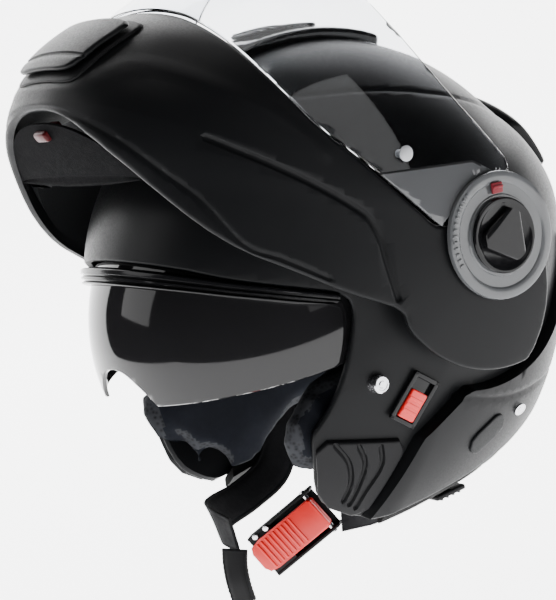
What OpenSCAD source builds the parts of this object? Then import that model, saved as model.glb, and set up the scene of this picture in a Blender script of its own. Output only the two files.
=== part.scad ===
// Flip-up motorcycle helmet, shown with its chin bar and visor raised, sun visor down.
// X is the wearer's left, -Y is forward, +Z is up. The origin is the midpoint between
// the two chin bar pivots, which is also the middle of the head cavity.
// Shells are surfaces about the pivot axis. A point has an angle a (0 forward, 90 up)
// and a distance r from the X axis, and its half-width x follows (x/w)^n + (r/R(a))^n = 1.

/* [Shell] */
// Half-width of the inner, recessed shell at the pivots
shell_w = 118; // [116:0.5:119]
// Half-width of the raised rear side panels
panel_w = 125; // [123:0.5:126]
// Wall thickness of the outer shell
shell_t = 4; // [3:0.5:4.5]
// Radius of the round recess that each chin bar arm turns in
recess_r = 79; // [76:0.5:84]
// Depth from the shell's outside to the inside of the impact foam
foam_depth = 28; // [24:1:32]
// Thickness of the comfort lining
lining_t = 7; // [5:0.5:8]

/* [Chin bar] */
// Half-width of the chin bar at the pivots
chin_w = 134; // [133.5:0.5:136]
// Wall thickness of the chin bar shell
chin_t = 4.5; // [3.5:0.5:5]
// Angle that the chin bar is raised by
chin_open = 66; // [60:1:66]
// Radius of the round end of each arm
lobe_r = 70; // [66:0.5:72]

/* [Visor] */
// Half-width of the clear visor at the pivots
visor_w = 135.5; // [135.5:0.5:137]
// Thickness of the clear visor
visor_t = 2.4; // [2:0.2:2.6]
// Outer radius of the round ring that carries the visor
ring_r = 33; // [31:0.5:34]
// Radius of the cap over each pivot
cap_r = 19.5; // [18.5:0.5:20.5]

/* [Sun visor] */
// Radius of the sun visor's front about its own pivots
sun_r = 103; // [101:0.5:103]
// Half-width of the sun visor at its pivots
sun_w = 99.5; // [97:0.5:99.5]
// Thickness of the sun visor
sun_t = 2.2; // [1.8:0.2:2.6]

/* [Pivot] */
// Radius of the steel pin in each chin bar hub
pin_r = 5; // [4:0.5:6]
// Radius of the hub that is set in each arm
hub_r = 20; // [19:0.5:22]
// Running gap between a pin and its bore
run_gap = 0.05; // [0.02:0.01:0.1]

/* [Strap] */
// Width of the webbing
web_w = 22; // [18:1:26]
// Thickness of the webbing
web_t = 2; // [1.5:0.1:2.5]
// Width of the buckle
buckle_w = 27; // [25:1:30]

/* [Hidden] */

$fn = 48;
shell_n = 2.2;
chin_n = 2.3;
sun_n = 2;
steps_a = 48;
steps_p = 24;
big = 300;

// Outlines in the middle plane, as [angle, radius]
shell_profile = [[-60, 196], [-44, 190], [-33, 182], [-20, 166], [-5, 158],
    [11, 155], [35, 141], [60, 129], [80, 118], [105, 106], [128, 98], [143, 96],
    [160, 102], [180, 109], [203, 111], [223, 118], [238, 131], [250, 143],
    [266, 158], [280, 172], [300, 196]];
chin_profile = [[-100, 225], [-83, 215], [-66, 202], [-52, 196], [-41, 199],
    [-34, 206], [-29, 208], [-23, 203], [-15, 192], [-9, 181], [5, 170], [60, 170],
    [150, 185], [220, 212], [260, 225]];
liner_profile = [[-100, 210], [-66, 190], [-52, 181], [-44, 180], [-34, 180], [-23, 178],
    [-15, 172], [-5, 165], [30, 165], [200, 195], [260, 210]];
visor_profile = [[-60, 186], [-30, 184], [-9, 182], [10, 169], [20, 161], [40, 152],
    [80, 150], [200, 165], [300, 186]];
sun_profile = [[-90, sun_r], [90, sun_r]];

function end_slope(t, i, j) = (t[j][1] - t[i][1]) / (t[j][0] - t[i][0]);
function slope(t, i) = i == 0 ? end_slope(t, 0, 1)
    : i == len(t) - 1 ? end_slope(t, i - 1, i) : end_slope(t, i - 1, i + 1);
function span(t, a, i = 0) = i >= len(t) - 2 || a <= t[i + 1][0] ? i : span(t, a, i + 1);
function hermite(t, i, h, u) = (2 * u * u * u - 3 * u * u + 1) * t[i][1]
    + (u * u * u - 2 * u * u + u) * h * slope(t, i)
    + (3 * u * u - 2 * u * u * u) * t[i + 1][1]
    + (u * u * u - u * u) * h * slope(t, i + 1);
function clamped(t, a) = max(t[0][0], min(t[len(t) - 1][0], a));
function radius_at(t, a) = let(
    b = clamped(t, a), i = span(t, b), h = t[i + 1][0] - t[i][0])
    hermite(t, i, h, (b - t[i][0]) / h);
function hoop_point(a, p, r, w, n) = [
    w * sign(cos(p)) * pow(abs(cos(p)), 2 / n),
    -r * pow(sin(p), 2 / n) * cos(a), r * pow(sin(p), 2 / n) * sin(a)];
function arc(r, from, to, count) = [for (i = [0:count])
    let(a = from + (to - from) * i / count) [-r * cos(a), r * sin(a)]];

// A closed surface round the pivot axis, grown outward by grow
module star(t, w, n, grow = 0, na = steps_a, np = steps_p) {
    first = t[0][0];
    ring = [for (j = [0:na - 1], i = [1:np - 1]) let(a = first + 360 * j / na)
        hoop_point(a, 180 * i / np, radius_at(t, a) + grow, w + grow, n)];
    function at(j, i) = 2 + (j % na) * (np - 1) + i - 1;
    sides = [for (j = [0:na - 1], i = [1:np - 2], k = [0, 1])
        k == 0 ? [at(j, i), at(j, i + 1), at(j + 1, i + 1)]
               : [at(j, i), at(j + 1, i + 1), at(j + 1, i)]];
    left = [for (j = [0:na - 1]) [0, at(j, 1), at(j + 1, 1)]];
    right = [for (j = [0:na - 1]) [1, at(j + 1, np - 1), at(j, np - 1)]];
    polyhedron(concat([[w + grow, 0, 0], [-w - grow, 0, 0]], ring),
        concat(sides, left, right));
}

// Everything whose [y, z] lies inside the outline, from x0 to x1
module side(outline, x0 = -big, x1 = big) {
    translate([x0, 0, 0]) rotate([90, 0, 90])
        linear_extrude(height = x1 - x0) polygon(outline);
}

// One mesh from a curved shape and its cuts
module one_mesh() {
    resize([0, 0, 0]) render() children();
}

module skin(t, w, n, outer, inner, na = steps_a, np = steps_p) {
    difference() {
        star(t, w, n, outer, na, np);
        star(t, w, n, inner, na, np);
    }
}

module on_right() {
    mirror([1, 0, 0]) children();
}

module raised() {
    rotate([-chin_open, 0, 0]) children();
}

module disc(r, x0, x1, sides = $fn) {
    translate([x0, 0, 0]) rotate([0, 90, 0]) rotate([0, 0, 3.3])
        cylinder(r = r, h = x1 - x0, $fn = sides);
}

// Side outlines, as [y, z]
brow_line = [[-145, 28], [-127, 15], [-103, 4], [-80, -6]];
eye_side = [[-77, -16], [-86, -40], [-96, -58], [-106, -71]];
jaw_front = [[-110, -74], [-110, -112], [-88, -131]];
rim_line = [[-59, -130], [-16, -127], [10, -123], [40, -113], [75, -103], [160, -95]];
far_round = [[big, -80], [big, big], [-big, big], [-big, 120]];
shell_outline = concat(brow_line, eye_side, jaw_front, rim_line, far_round);
panel_outline = concat([[-88, -131], [-58, -91], [-30, -76.6]],
    arc(recess_r, -71.3, -163.1, 14), [[big, -30], [big, -big], [-88, -big]]);
sill_line = [[-177, -28], [-160, -32], [-134, -37], [-104, -39], [-62, -32], [-26, -25]];
neck_line = [[-8, -66], [-36, -84], [-57, -94], [-83, -107], [-105, -112], [-128, -113],
    [-159, -112], [-178, -107], [-big, -107]];
chin_outline = concat([[-big, -28]], sill_line, arc(ring_r - 2.4, -38.7, 139.3, 13),
    [[40, 13], [56, -2]], arc(lobe_r, 198.7, 268.8, 8), neck_line);
gap_over_sill = 1.2;
lens_outline = concat([[-big, -28 + gap_over_sill]],
    [for (p = sill_line) p + [0, gap_over_sill]],
    [[-27.2, -22], [-26.5, -17], [-10, -10], [-10, 24]], [[-22, 31], [-34, 30], [-70, 29], [-95, 32],
    [-120, 38], [-149, 52], [-big, 110]]);
sun_pivot = [-63, -30];
sun_outline = [[-52, -30], [-53, -38], [-60, -41.5], [-100, -43.5], [-big, -47],
    [-big, 90], [-150, 38], [-127, 24], [-103, 12], [-80, 2], [-62, -19], [-54, -23]];
sun_nose = [[-38, -70], [-31, -46], [-20, -32.5], [-8, -24.5], [0, -22.5], [8, -24.5],
    [20, -32.5], [31, -46], [38, -70]];

module outer_shell() color("#1b1c1e") one_mesh() difference() {
    intersection() {
        union() {
            star(shell_profile, shell_w, shell_n);
            intersection() {
                star(shell_profile, panel_w, shell_n, 1.5);
                side(panel_outline);
            }
        }
        side(shell_outline);
    }
    star(shell_profile, shell_w, shell_n, -shell_t);
    for (s = [-1, 1]) disc(9.15, s * 120 - 15, s * 120 + 15, 38);
    for (s = [-1, 1]) translate([0, latch_at.x, latch_at.y])
        disc(latch_r + 0.2, s * 104 - 9, s * 104 + 9, 30);
}

// Impact foam: leaves a pocket in front for the raised sun visor
module impact_foam() color("#3c3d40") one_mesh() difference() {
    intersection() {
        difference() {
            star(shell_profile, shell_w, shell_n, -shell_t - 0.4, 36, 20);
            star(shell_profile, shell_w - 6, shell_n, -foam_depth, 36, 20);
        }
        side(concat([[-150, 36], [-100, 14], [-70, 2], [-64, -24], [-58, -40], [30, -58],
            [36, -74], [120, -74], [big, -60], [big, big], [-big, big]]));
    }
    intersection() {
        difference() {
            sun_star(3, 40, 20);
            sun_star(-sun_t - 2.5, 40, 20);
        }
        side([[-big, -60], [-46, -60], [-46, 20], [-60, big], [-big, big]]);
    }
    for (s = [-1, 1]) disc(12, s * 110 - 14, s * 110 + 14);
    for (s = [-1, 1]) translate([0, sun_pivot.x, sun_pivot.y]) disc(9, s * 102 - 12, s * 102 + 12);
}

module head_lining() color("#25262b") one_mesh() intersection() {
    skin(shell_profile, shell_w - 6, shell_n, -foam_depth - 0.6, -foam_depth - lining_t, 36, 20);
    side(concat([[-120, 22], [-90, 8], [-62, -6], [-54, -34], [30, -50], [38, -70],
        [120, -70], [big, -60], [big, big], [-big, big]]));
}

module neck_roll() color("#20232a") one_mesh() intersection() {
    skin(shell_profile, shell_w - 1, shell_n, -shell_t - 1, -foam_depth - 4);
    side([[34, -76], [big, -76], [big, -94], [160, -94], [75, -102.1], [40, -112.1], [34, -114.2]]);
}

pad_outline = [[-80, -46], [-98, -50], [-115, -60], [-124, -73], [-124, -99], [-117, -114],
    [-103, -126], [-62, -127], [-52, -118], [-30, -107], [28, -104], [28, -64], [-50, -46]];
// Plan outline: the inner face runs outward towards the front
pad_plan = [[58, 40], [58, -60], [70, -112], [71, -130], [120, -130], [120, 40]];
module cheek_pad() {
    one_mesh() intersection() {
        union() {
            star(shell_profile, shell_w, shell_n, -shell_t - 8);
            intersection() {
                star(shell_profile, shell_w, shell_n, -shell_t - 1.5);
                side([[-99, -big], [-99, big], [-big, big], [-big, -big]]);
            }
            intersection() {
                star(liner_profile, 126, chin_n, -3.2);
                side([[-111.3, -big], [-111.3, big], [-big, big], [-big, -big]], 0, 88);
            }
        }
        side(pad_outline, 58, 120);
        linear_extrude(height = 300, center = true) polygon(pad_plan);
    }
}
module cheek_pad_left() color("#2a2b2e") cheek_pad();
module cheek_pad_right() color("#2a2b2e") on_right() cheek_pad();

// Stepped frame under the brow edge of the shell
module brow_trim() color("#141416") one_mesh() difference() {
    intersection() {
        skin(shell_profile, shell_w, shell_n, 2, -shell_t + 1);
        side([[-160, 32], [-127, 14.5], [-103, 3.5], [-82, -5.5], [-82, -11], [-103, -4],
            [-127, 6.5], [-160, 22]]);
    }
    sun_star(1.2);
}

module rim_trim() color("#101012") one_mesh() difference() {
    intersection() {
        skin(shell_profile, panel_w - 4, shell_n, 1, -shell_t - 5);
        side([[-86, -131.4], [-59, -130.4], [-16, -127.4], [10, -123.4], [40, -113.4],
            [75, -103.4], [160, -95.4], [160, -100], [75, -108], [40, -118], [10, -128],
            [-16, -132], [-59, -135], [-84, -136]]);
    }
    // slot that the sun visor's slider runs in
    translate([73.6, -33.1, -145]) cube([4.8, 16.3, 30]);
}

module crown_vent_base() color("#17181a") one_mesh() intersection() {
    skin(shell_profile, shell_w, shell_n, 6, 0.4, 72);
    side([[-52, 95], [-52, 150], [30, 150], [30, 90]], -34, 34);
    hull() {
        translate([-34, 30, 60]) cube([68, 1, 80]);
        translate([-22, -52, 60]) cube([44, 1, 80]);
    }
}

module crown_vent_slider() color("#1f2023") one_mesh() intersection() {
    skin(shell_profile, shell_w, shell_n, 9, 6.4, 72);
    side([[-38, 95], [-38, 150], [6, 150], [6, 90]], -14, 14);
}

module rear_spoiler() color("#17181a") one_mesh() intersection() {
    skin(shell_profile, shell_w, shell_n, 7, 0.4, 72);
    side([[74, 62], [78, 130], [big, 60], [big, 8], [96, 8]], -58, 58);
}

jaw_cover_outline = [[-108.4, -76.2], [-61.3, -90.7], [-87.1, -127.6], [-108.4, -111.4]];
// A shallow groove line across the ribbed cover
function jaw_groove(k) = [[-98 + 10 * k, -81 - 3.5 * k], [-96.4 + 10 * k, -82 - 3.5 * k],
    [-95 + 5 * k, -106 - 3 * k], [-96.6 + 5 * k, -106 - 3 * k]];
module jaw_cover() {
    one_mesh() difference() {
        intersection() {
            skin(shell_profile, shell_w, shell_n, 3, 0.3);
            side(jaw_cover_outline, 40, 130);
        }
        for (k = [0:2]) side(jaw_groove(k), 40, 130);
    }
}
module jaw_cover_left() color("#26272a") jaw_cover();
module jaw_cover_right() color("#26272a") on_right() jaw_cover();

// Steel pins that the chin bar latches on
latch_at = [-75, -56];
latch_r = 4.8;
module latch_pin() {
    translate([0, latch_at.x, latch_at.y]) {
        disc(latch_r, 99, 110.3);
        disc(latch_r - 0.8, 110.3, 111.1);
    }
}
module latch_pin_left() color("#b9bcc0") latch_pin();
module latch_pin_right() color("#b9bcc0") on_right() latch_pin();

// Fixed boss with the pin that the chin bar turns on
module pivot_base() {
    disc(9, 108, 118.4);
    disc(22, 118.3, 121.5);
    disc(pin_r, 121.4, 134);
}
module pivot_base_left() color("#2d2e31") pivot_base();
module pivot_base_right() color("#2d2e31") on_right() pivot_base();

module chin_hub() {
    difference() {
        union() {
            disc(hub_r, 122, 134);
            disc(hub_r + 6, 124, 128.1);
            disc(18, 133.9, 137.9);
        }
        disc(pin_r + run_gap, 121, 135);
    }
}
module chin_hub_left() color("#202124") raised() chin_hub();
module chin_hub_right() color("#202124") on_right() raised() chin_hub();

module visor_ring() {
    difference() {
        disc(ring_r, 134.5, 137.6);
        disc(18.06, 134, 138);
    }
}
module visor_ring_left() color("#3a3b3f", 0.6) raised() visor_ring();
module visor_ring_right() color("#3a3b3f", 0.6) on_right() raised() visor_ring();

// Cap with a raised three-sided grip
module pivot_cap() {
    disc(cap_r, 138, 140.5);
    translate([140.4, 0, 0]) rotate([0, 90, 0]) rotate([0, 0, 50]) linear_extrude(height = 3)
        polygon([for (a = [0:120:240], b = [-14, 14])
            [13.5 * cos(a + b), 13.5 * sin(a + b)]]);
}
module pivot_cap_left() color("#17181a") raised() pivot_cap();
module pivot_cap_right() color("#17181a") on_right() raised() pivot_cap();

module visor_lens() color("#c9cfd6", 0.45) raised() one_mesh() difference() {
    intersection() {
        skin(visor_profile, visor_w, chin_n, 0, -visor_t, 60);
        side(lens_outline);
    }
    for (s = [-1, 1]) disc(ring_r - 1.9, s * 133 - 20, s * 133 + 20, 70);
    for (s = [-1, 1]) translate([0, insert_at.x, insert_at.y])
        disc(2.35, s * 128 - 8, s * 128 + 8, 26);
}

// Red spring catch on each ring, sliding away from the cap to free the visor
lock_angle = 30.6;
module visor_lock() rotate([-lock_angle, 0, 0]) {
    translate([137.7, -27.5, -3.5]) cube([1.7, 6, 7]);
    translate([139.3, -25.5, -3.5]) cube([0.9, 2, 7]);
}
module visor_lock_left() color("#d8261c") raised() visor_lock();
module visor_lock_right() color("#d8261c") on_right() raised() visor_lock();

// Pins that hold an anti-fog insert, one each side
insert_at = [-67, -15];
module insert_pins() color("#4a4b50") raised() for (s = [0, 1]) mirror([s, 0, 0])
    translate([0, insert_at.x, insert_at.y]) {
        disc(4, 130.1, 131.8);
        disc(2.2, 123.6, 130.2);
    }

module chin_shell() color("#1a1b1d") raised() one_mesh() difference() {
    intersection() {
        skin(chin_profile, chin_w, chin_n, 0, -chin_t);
        side(chin_outline);
    }
    for (s = [-1, 1]) disc(hub_r + 0.1, s * 132 - 15, s * 132 + 15);
}

liner_outline = [[-big, -34], [-177, -34], [-160, -38], [-134, -43], [-104, -45],
    [-62, -40], [-46, -36], [-40, -56], [-46, -74], [-60, -86], [-84, -101],
    [-106, -106], [-128, -107], [-159, -107], [-176, -103], [-big, -103]];
hook_at = latch_at + 16 * [-0.6, 0.8];
module chin_liner() color("#2b2c2f") raised() one_mesh() difference() {
    intersection() {
        star(chin_profile, chin_w, chin_n, -chin_t - 0.4);
        side(liner_outline);
    }
    star(liner_profile, 126, chin_n);
    intersection() {
        star(shell_profile, shell_w, shell_n, 6.5);
        side([[-116, -big], [-116, big], [big, big], [big, -big]]);
    }
    for (s = [-1, 1]) translate([0, latch_at.x, latch_at.y]) disc(14.5, s * 104 - 11, s * 104 + 11);
    for (s = [-1, 1]) translate([0, hook_at.x, hook_at.y]) disc(9, s * 106 - 14, s * 106 + 14);
    translate([-8.4, -167.5, -130]) cube([16.8, 9.9, 35]);
}

// Fabric wind curtain across the underside, short enough to clear the lowered sun visor
module chin_curtain() color("#232428") raised() one_mesh() difference() {
    intersection() {
        star(chin_profile, chin_w, chin_n, -chin_t - 0.7);
        side([[-big, -107.6], [-178, -107.6], [-159, -108.2], [-104, -108.2], [-104, -110.4],
            [-159, -110.4], [-178, -109.6], [-big, -109.6]]);
    }
    linear_extrude(height = 260, center = true) polygon([[-big, -136], [-82, -133],
        [-57, -131.6], [-36, -130.6], [-12, -130.1], [12, -130.1], [36, -130.6], [57, -131.6],
        [82, -133], [big, -136], [big, 40], [-big, 40]]);
    translate([-9.4, -168.5, -130]) cube([18.8, 11.9, 32.5]);
}

module sill_gasket() color("#0e0e0f") raised() one_mesh() difference() {
    intersection() {
        skin(chin_profile, chin_w, chin_n, -chin_t - 0.4, -chin_t - 4.2);
        side([[-big, -33.6], [-177, -33.6], [-160, -37.6], [-134, -42.6], [-104, -44.6],
            [-62, -39.6], [-52, -37], [-52, -29.5], [-62, -31.4], [-104, -38.2],
            [-134, -36.2], [-160, -31.2], [-177, -27.2], [-big, -27.2]]);
    }
    for (s = [-1, 1]) translate([0, hook_at.x, hook_at.y])
        disc(3.3, s * 115 - 8, s * 115 + 8, 26);
}

module chin_vent_base() color("#131416") raised() one_mesh() intersection() {
    skin(chin_profile, chin_w, chin_n, 2, 0.3, 72);
    side([[-big, -96], [-150, -96], [-150, -44], [-big, -44]], -43, 43);
}

module chin_vent_cover() color("#1a1b1d") raised() one_mesh() intersection() {
    skin(chin_profile, chin_w, chin_n, 6.5, 4, 72);
    side([[-big, -88], [-150, -88], [-150, -48], [-big, -48]]);
    rotate([90, 0, 0]) linear_extrude(height = 260)
        polygon([[-40, -47], [40, -47], [30, -89], [-30, -89]]);
}

module chin_release_button() color("#c8241c") raised() {
    translate([-8, -167, -114]) cube([16, 9, 11]);
    translate([-6, -165.5, -103.1]) cube([12, 6, 3]);
}

// A hook's outline: u runs from the pin to the hook's own pivot, v toward the chin pivot
hook_uv = [[22, -5], [22, 5], [12, 8], [8, 11], [-8, 11], [-8, 7.8], [6, 7.8], [8.5, 4],
    [8.5, -4], [6, -7.8], [-6, -7.8], [-6, -5.6], [-9, -5.6], [-9, -11], [8, -11], [12, -8]];
hook_line = [for (p = hook_uv) latch_at + p.x * [-0.6, 0.8] + p.y * [0.8, 0.6]];
hook_pin_r = 2.5;
module latch_hook() {
    difference() {
        side(hook_line, 109.4, 111.6);
        translate([0, hook_at.x, hook_at.y]) disc(hook_pin_r + run_gap, 108, 113);
    }
}
module latch_hook_left() color("#8f9296") raised() latch_hook();
module latch_hook_right() color("#8f9296") on_right() raised() latch_hook();

module hook_pins() color("#a6a8ac") raised() for (s = [0, 1]) mirror([s, 0, 0])
    translate([0, hook_at.x, hook_at.y]) {
        disc(hook_pin_r, 108.9, 117.2);
        disc(4.2, 107.6, 109);
    }

module sun_star(grow, na = 60, np = 24) {
    translate([0, sun_pivot.x, sun_pivot.y]) star(sun_profile, sun_w, sun_n, grow, na, np);
}

module sun_visor() color("#26252a", 0.8) one_mesh() difference() {
    intersection() {
        difference() {
            sun_star(0);
            sun_star(-sun_t);
        }
        side(sun_outline);
    }
    rotate([90, 0, 0]) linear_extrude(height = 260) polygon(sun_nose);
    for (s = [-1, 1]) translate([0, sun_pivot.x, sun_pivot.y])
        disc(3.06, s * 98 - 12, s * 98 + 12);
}

module sun_visor_studs() color("#808388") for (s = [0, 1]) mirror([s, 0, 0])
    translate([0, sun_pivot.x, sun_pivot.y]) {
        disc(3, 96.4, 100.3);
        disc(6, 100.2, 104.4);
        disc(5.2, 94.5, 96.5);
    }

module sun_visor_slider() color("#1f2023") {
    translate([72, -40, -138.2]) cube([9, 20, 3]);
    translate([74.5, -32, -135.3]) cube([3, 4, 6]);
}

// Red sliding lock and its surround on the left jaw
module at_lock() {
    translate([107.2, -57, -70.5]) rotate([105.6, -45.3, 68.6]) children();
}
module lock_slide_bezel() color("#0f1011") at_lock() difference() {
    translate([-14, -8.5, 1.1]) cube([28, 17, 1.9]);
    translate([-11.3, -5.4, 0.5]) cube([22.6, 10.8, 3]);
}
module lock_slide() color("#d8261c") at_lock() {
    translate([-11, -5.1, 1.3]) cube([16, 10.2, 2.9]);
    for (x = [-7.5, -4, -0.5]) translate([x, -5.1, 4.1]) cube([1.8, 10.2, 0.8]);
}

// Smooth oblong plates where the rear sides would be marked
function oblong(y, z, half, r, turn) = [for (i = [0:19]) let(
    a = i < 10 ? turn - 90 + 20 * i : turn + 90 + 20 * (i - 10),
    e = i < 10 ? half : -half)
    [y + e * cos(turn) + r * cos(a), z + e * sin(turn) + r * sin(a)]];
module side_badge_blanks() color("#3a3b3e") for (s = [0, 1]) mirror([s, 0, 0])
    one_mesh() intersection() {
        skin(shell_profile, panel_w, shell_n, 2.8, 1.8, 96, 40);
        side(oblong(-14, -105, 7, 6, 22.6), 60, 130);
    }

module rear_screws() color("#b4b6ba") for (s = [0, 1]) mirror([s, 0, 0])
    translate([102.3, 11, -101.4]) rotate([0, 121.6, 0]) cylinder(r = 3.6, h = 1.2);

// A flat band through points, with its width along each given direction
function unit(v) = v / norm(v);
function band_frame(p, w, i) = let(
    t = unit(p[min(i + 1, len(p) - 1)] - p[max(i - 1, 0)]),
    a = unit(w[i] - (w[i] * t) * t)) [a, cross(t, a)];
module band(p, w, width, thick) {
    last = len(p) - 1;
    corners = [for (i = [0:last], k = [0:3]) let(f = band_frame(p, w, i))
        p[i] + f[0] * (k == 0 || k == 3 ? -width / 2 : width / 2)
            + f[1] * (k < 2 ? -thick / 2 : thick / 2)];
    sides = [for (i = [0:last - 1], k = [0:3]) let(a = 4 * i + k, b = 4 * i + (k + 1) % 4)
        [a, b, b + 4, a + 4]];
    resize([0, 0, 0]) polyhedron(corners,
        concat(sides, [[3, 2, 1, 0], [4 * last, 4 * last + 1, 4 * last + 2, 4 * last + 3]]));
}

// The left strap runs from its anchor down behind the cheek pad to the buckle
module strap_left() color("#17181a") band(
    [[94.2, -20, -90], [90.5, -24, -104], [79, -34, -120], [66.5, -50, -134], [54, -66, -137],
        [42.6, -77.4, -134.6]],
    [[0, 1, 0], [0, 1, 0], [-0.2, 1, -0.4], [-0.3, 1, -0.4], [0.1, 0.8, -0.7], [0.4, 0.3, -0.9]],
    web_w, web_t);
module strap_right() color("#17181a") band(
    [[-94.2, -20, -90], [-90.5, -24, -104], [-79, -34, -120], [-67, -52, -133.4],
        [-58, -78, -138], [-46, -104, -137], [-26, -118, -136], [-6, -119, -139]],
    [[0, 1, 0], [0, 1, 0], [0.2, 1, -0.4], [0.3, 1, -0.4], [0.3, 0.8, -0.5],
        [0.2, 0.5, -0.8], [0, 0.1, -1], [0.2, 0.1, -1]],
    web_w, web_t);
module strap_anchors() color("#8f9296") for (s = [0, 1]) mirror([s, 0, 0])
    translate([0, -20, -84]) disc(4.5, 96, 98.5);

module at_buckle() {
    translate([24, -99, -141]) rotate([-87, 29, -135]) children();
}
hinge_x = -18;
module buckle_body() color("#131416") at_buckle() difference() {
    union() {
        translate([-22, -buckle_w / 2, -9]) cube([46, buckle_w, 2]);
        for (s = [-1, 1]) translate([-23, s * (buckle_w / 2 - 1) - 1, -9]) cube([47, 2, 8.6]);
        translate([8, -buckle_w / 2, -3.4]) cube([16, buckle_w, 2.4]);
    }
    translate([hinge_x, 20, -3.5]) rotate([90, 0, 0]) cylinder(r = 1.5 + run_gap, h = 40);
}
module buckle_pin() color("#a6a8ac") at_buckle() translate([hinge_x, buckle_w / 2 + 0.8, -3.5])
    rotate([90, 0, 0]) cylinder(r = 1.5, h = buckle_w + 1.6);
module buckle_tab() color("#c5281f") at_buckle() difference() {
    union() {
        translate([-20.5, -9.5, -0.6]) cube([46.5, 19, 3.2]);
        for (k = [0:8]) translate([-4 + 3 * k, -8.5, 2.5]) cube([1.5, 17, 0.7]);
        translate([hinge_x, 9.5, -3.5]) rotate([90, 0, 0]) cylinder(r = 3, h = 19);
        translate([hinge_x - 2.2, -9.5, -3.5]) cube([4.4, 19, 3.5]);
    }
    translate([hinge_x, 20, -3.5]) rotate([90, 0, 0]) cylinder(r = 1.5 + run_gap, h = 40);
}
module ladder_strap() color("#101113") band(
    [[-3.4, -122.4, -145.5], [-3.6, -124.5, -154], [-2.5, -126, -164], [-1.5, -126, -175]],
    [[0.75, 0.6, 0], [0.8, 0.5, 0], [0.85, 0.5, 0], [0.85, 0.5, 0]], 15, 2.4);
module strap_rivets() color("#c3c5c8") at_buckle() for (x = [10.5, 18.5])
    translate([x, -11.7, -0.35]) cylinder(r = 1.8, h = 1.1);

outer_shell();
impact_foam();
head_lining();
neck_roll();
cheek_pad_left();
cheek_pad_right();
brow_trim();
rim_trim();
crown_vent_base();
crown_vent_slider();
rear_spoiler();
jaw_cover_left();
jaw_cover_right();
latch_pin_left();
latch_pin_right();
pivot_base_left();
pivot_base_right();
side_badge_blanks();
rear_screws();
lock_slide_bezel();
lock_slide();
sun_visor_studs();
sun_visor();
sun_visor_slider();
strap_left();
strap_right();
strap_anchors();
buckle_body();
buckle_tab();
buckle_pin();
ladder_strap();
strap_rivets();
chin_shell();
chin_liner();
chin_curtain();
sill_gasket();
chin_vent_base();
chin_vent_cover();
chin_release_button();
latch_hook_left();
latch_hook_right();
chin_hub_left();
chin_hub_right();
pivot_cap_left();
pivot_cap_right();
visor_lens();
visor_ring_left();
visor_ring_right();
visor_lock_left();
visor_lock_right();
insert_pins();
hook_pins();
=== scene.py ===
import math
import bpy
import bmesh
import numpy as np
from mathutils import Matrix, Vector


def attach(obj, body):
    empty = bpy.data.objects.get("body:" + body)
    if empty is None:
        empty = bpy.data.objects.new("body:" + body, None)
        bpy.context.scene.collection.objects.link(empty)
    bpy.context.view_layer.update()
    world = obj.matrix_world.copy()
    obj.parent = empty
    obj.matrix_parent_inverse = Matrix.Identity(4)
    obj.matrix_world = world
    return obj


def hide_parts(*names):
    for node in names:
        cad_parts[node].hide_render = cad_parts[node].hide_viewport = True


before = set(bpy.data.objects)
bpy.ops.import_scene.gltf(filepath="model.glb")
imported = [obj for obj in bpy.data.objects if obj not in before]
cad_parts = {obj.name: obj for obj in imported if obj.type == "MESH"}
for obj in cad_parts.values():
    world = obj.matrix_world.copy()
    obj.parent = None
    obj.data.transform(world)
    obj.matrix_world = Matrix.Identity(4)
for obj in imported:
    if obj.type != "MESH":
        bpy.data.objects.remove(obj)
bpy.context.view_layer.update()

MM = 0.001
OPEN = 66.0        # degrees that the chin bar is raised by
TAU = 2 * math.pi


# ---------------------------------------------------------------- surfaces
def curve(knots):
    """A smooth curve through [angle, radius] knots, held at both ends."""
    k = np.array(knots, float)
    a, r = k[:, 0], k[:, 1]
    m = np.zeros(len(a))
    m[1:-1] = (r[2:] - r[:-2]) / (a[2:] - a[:-2])
    m[0] = (r[1] - r[0]) / (a[1] - a[0])
    m[-1] = (r[-1] - r[-2]) / (a[-1] - a[-2])

    def radius(x):
        x = np.clip(np.asarray(x, float), a[0], a[-1])
        i = np.clip(np.searchsorted(a, x) - 1, 0, len(a) - 2)
        h = a[i + 1] - a[i]
        t = (x - a[i]) / h
        return ((2 * t**3 - 3 * t**2 + 1) * r[i] + (t**3 - 2 * t**2 + t) * h * m[i]
                + (3 * t**2 - 2 * t**3) * r[i + 1] + (t**3 - t**2) * h * m[i + 1])
    return radius


SHELL_R = curve([[-60, 196], [-44, 190], [-33, 182], [-20, 166], [-5, 158], [11, 155],
                 [35, 141], [60, 129], [80, 118], [105, 106], [128, 98], [143, 96],
                 [160, 102], [180, 109], [203, 111], [223, 118], [238, 131], [250, 143],
                 [266, 158], [280, 172], [300, 196]])
CHIN_R = curve([[-100, 225], [-83, 215], [-66, 202], [-52, 196], [-41, 199], [-34, 206],
                [-29, 208], [-23, 203], [-15, 192], [-9, 181], [5, 170], [60, 170],
                [150, 185], [220, 212], [260, 225]])
LINER_R = curve([[-100, 210], [-66, 190], [-52, 181], [-44, 180], [-34, 180], [-23, 178],
                 [-15, 172], [-5, 165], [30, 165], [200, 195], [260, 210]])
VISOR_R = curve([[-60, 186], [-30, 184], [-9, 182], [10, 169], [20, 161], [40, 152],
                 [80, 150], [200, 165], [300, 186]])
SUN_R = curve([[-90, 103], [90, 103]])


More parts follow.
